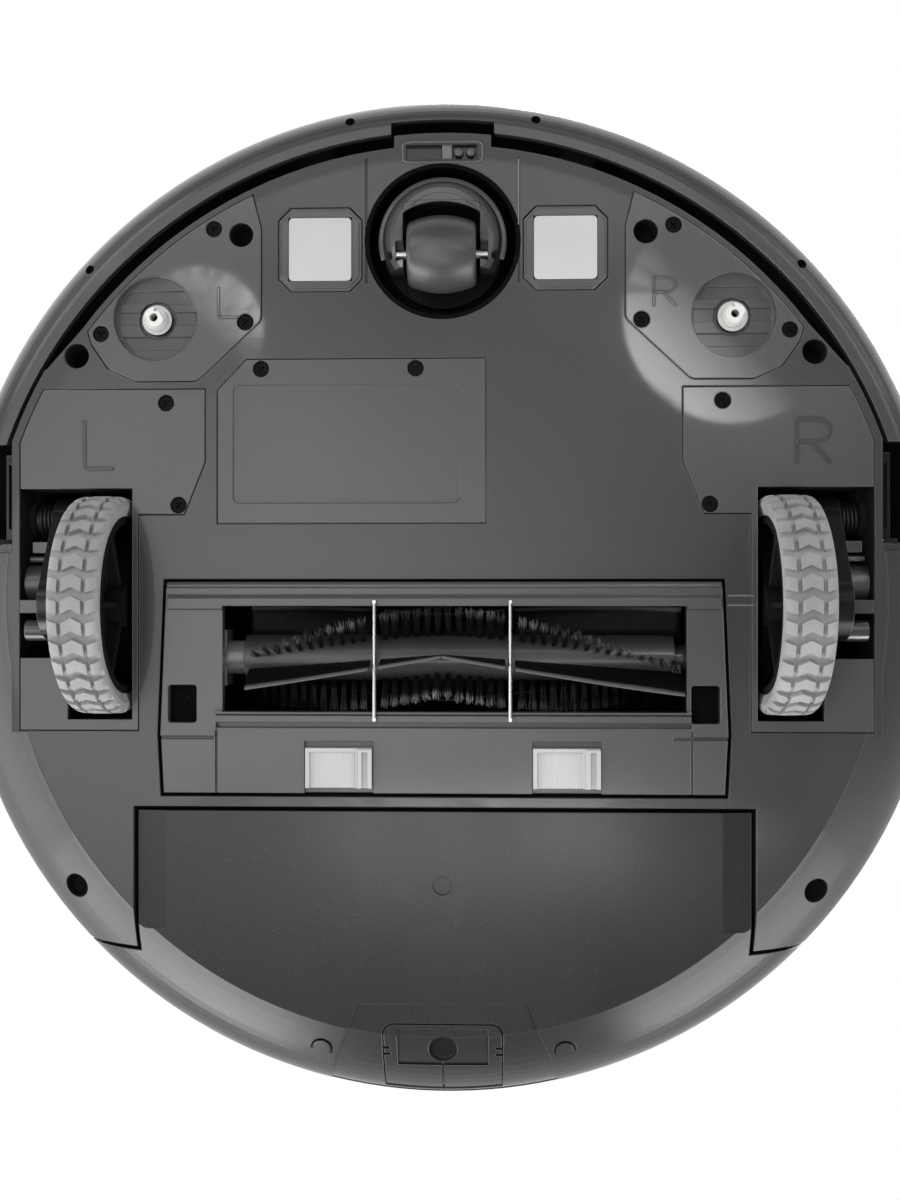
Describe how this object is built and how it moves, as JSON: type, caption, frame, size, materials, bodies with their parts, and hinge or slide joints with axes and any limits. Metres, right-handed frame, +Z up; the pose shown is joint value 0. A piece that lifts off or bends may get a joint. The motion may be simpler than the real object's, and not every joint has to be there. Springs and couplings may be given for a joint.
{
  "type": "robot vacuum",
  "caption": "Round robot vacuum cleaner with sprung drive wheels, swivelling caster, brush under a hinged guard, side brush shafts, sliding bumper and a pull-out dust bin.",
  "frame": {"origin": "middle of the footprint, on the plane through the lowest points of the hanging drive wheels", "axes": "+Z up, -Y towards the front (bumper and caster), +Y towards the dust bin, +X towards the brush's drive end"},
  "size_m": [0.33, 0.33, 0.106],
  "materials": {
    "chassis_plastic": "fine-grained dark grey moulding, slight sheen",
    "cover_plastic": "glossy charcoal top cover",
    "bumper_plastic": "satin dark grey",
    "module_plastic": "satin grey covers and frames",
    "inner_plastic": "plain black inner mouldings",
    "bin_plastic": "satin grey bin",
    "key_plastic": "glossy light grey keys",
    "window": "glossy infrared window",
    "contact_metal": "bright plated",
    "steel": "bare steel",
    "spring_steel": "bare spring wire",
    "tyre_rubber": "light grey rubber, dusty",
    "hub_plastic": "black hubs and rollers",
    "shaft_plastic": "white slippery plastic",
    "tab_plastic": "pale release tabs",
    "fin_rubber": "soft rubber fins",
    "bristle": "nylon tufts",
    "battery_sleeve": "shrink sleeve over the cells",
    "board": "lacquered circuit board",
    "filter_paper": "pleated filter paper"
  },
  "bodies": {
    "chassis": {"chassis_base": "chassis_plastic", "top_cover": "cover_plastic", "bin_tunnel": "inner_plastic", "battery_cover": "module_plastic", "battery_pack": "battery_sleeve", "main_board": "board", "fan_housing": "inner_plastic", "left_wheel_housing": "module_plastic", "right_wheel_housing": "module_plastic", "left_brush_module": "module_plastic", "right_brush_module": "module_plastic", "side_brush_motors": "steel", "caster_socket": "inner_plastic", "left_contact": "contact_metal", "right_contact": "contact_metal", "contact_frames": "module_plastic", "front_sensor_window": "window", "side_sensors": "window", "brush_housing": "inner_plastic", "brush_gearbox": "module_plastic", "belly_screws": "steel", "ir_dome": "window", "brush_bearing": "module_plastic"},
    "bumper": {"bumper": "bumper_plastic", "bumper_window": "window"},
    "left_suspension": {"left_arm": "inner_plastic", "left_spring": "spring_steel"},
    "right_suspension": {"right_arm": "inner_plastic", "right_spring": "spring_steel"},
    "left_wheel": {"left_hub": "hub_plastic", "left_tyre": "tyre_rubber"},
    "right_wheel": {"right_hub": "hub_plastic", "right_tyre": "tyre_rubber"},
    "caster": {"caster_fork": "module_plastic", "caster_axle": "steel"},
    "roller": {"caster_roller": "hub_plastic"},
    "main_brush": {"brush_core": "hub_plastic", "brush_fins": "fin_rubber", "brush_bristles": "bristle"},
    "left_side_shaft": {"left_shaft": "shaft_plastic"},
    "right_side_shaft": {"right_shaft": "shaft_plastic"},
    "guard": {"brush_guard": "module_plastic", "guard_wires": "steel"},
    "left_release_tab": {"left_tab": "tab_plastic"},
    "right_release_tab": {"right_tab": "tab_plastic"},
    "bin": {"bin_body": "bin_plastic", "bin_lid": "bin_plastic", "bin_filter": "filter_paper"},
    "flap": {"bin_flap": "fin_rubber"},
    "latch": {"bin_latch": "bin_plastic"},
    "power_key": {"power_button": "key_plastic"},
    "home_key": {"home_button": "key_plastic"},
    "impeller": {"fan_impeller": "module_plastic"}
  },
  "joints": [
    {"name": "bumper_slide", "type": "slide", "parent": "chassis", "child": "bumper", "axis": [0, 1, 0], "range_m": [0, 0.0025], "stiffness_N_per_m": 800, "springref_m": -0.0015},
    {"name": "left_suspension_pivot", "type": "hinge", "parent": "chassis", "child": "left_suspension", "pos_m": [-0.127, -0.026, 0.047], "axis": [1, 0, 0], "range_deg": [0, 46.5], "stiffness_Nm_per_rad": 0.4, "springref_deg": -22.92},
    {"name": "left_wheel_spin", "type": "hinge", "parent": "left_suspension", "child": "left_wheel", "pos_m": [-0.109, 0.0019, 0.035], "axis": [1, 0, 0], "continuous": true},
    {"name": "right_suspension_pivot", "type": "hinge", "parent": "chassis", "child": "right_suspension", "pos_m": [0.127, -0.026, 0.047], "axis": [1, 0, 0], "range_deg": [0, 46.5], "stiffness_Nm_per_rad": 0.4, "springref_deg": -22.92},
    {"name": "right_wheel_spin", "type": "hinge", "parent": "right_suspension", "child": "right_wheel", "pos_m": [0.109, 0.0019, 0.035], "axis": [1, 0, 0], "continuous": true},
    {"name": "caster_swivel", "type": "hinge", "parent": "chassis", "child": "caster", "pos_m": [0, -0.1144, 0.0456], "axis": [0, 0, 1], "continuous": true},
    {"name": "roller_spin", "type": "hinge", "parent": "caster", "child": "roller", "pos_m": [0, -0.109, 0.0296], "axis": [1, 0, 0], "continuous": true},
    {"name": "brush_spin", "type": "hinge", "parent": "chassis", "child": "main_brush", "pos_m": [0, 0.019, 0.0416], "axis": [1, 0, 0], "continuous": true},
    {"name": "left_shaft_spin", "type": "hinge", "parent": "chassis", "child": "left_side_shaft", "pos_m": [-0.0926, -0.0903, 0.0386], "axis": [0, 0, 1], "continuous": true},
    {"name": "right_shaft_spin", "type": "hinge", "parent": "chassis", "child": "right_side_shaft", "pos_m": [0.0926, -0.0903, 0.0386], "axis": [0, 0, 1], "continuous": true},
    {"name": "guard_hinge", "type": "hinge", "parent": "chassis", "child": "guard", "pos_m": [0, -0.0043, 0.0332], "axis": [1, 0, 0], "range_deg": [-60, 0]},
    {"name": "left_tab_slide", "type": "slide", "parent": "guard", "child": "left_release_tab", "axis": [0, -1, 0], "range_m": [0, 0.0018], "stiffness_N_per_m": 700, "springref_m": -0.001},
    {"name": "right_tab_slide", "type": "slide", "parent": "guard", "child": "right_release_tab", "axis": [0, -1, 0], "range_m": [0, 0.0018], "stiffness_N_per_m": 700, "springref_m": -0.001},
    {"name": "bin_slide", "type": "slide", "parent": "chassis", "child": "bin", "axis": [0, 1, 0], "range_m": [0, 0.1]},
    {"name": "latch_press", "type": "slide", "parent": "bin", "child": "latch", "axis": [0, 0, 1], "range_m": [0, 0.002], "stiffness_N_per_m": 1000, "springref_m": -0.001},
    {"name": "flap_hinge", "type": "hinge", "parent": "bin", "child": "flap", "pos_m": [0, 0.0718, 0.0746], "axis": [1, 0, 0], "range_deg": [0, 60]},
    {"name": "power_press", "type": "slide", "parent": "chassis", "child": "power_key", "axis": [0, 0, -1], "range_m": [0, 0.0008], "stiffness_N_per_m": 1500, "springref_m": -0.0006},
    {"name": "home_press", "type": "slide", "parent": "chassis", "child": "home_key", "axis": [0, 0, -1], "range_m": [0, 0.0008], "stiffness_N_per_m": 1500, "springref_m": -0.0006},
    {"name": "impeller_spin", "type": "hinge", "parent": "chassis", "child": "impeller", "pos_m": [-0.1205, 0.066, 0.0736], "axis": [0, 0, 1], "continuous": true}
  ]
}
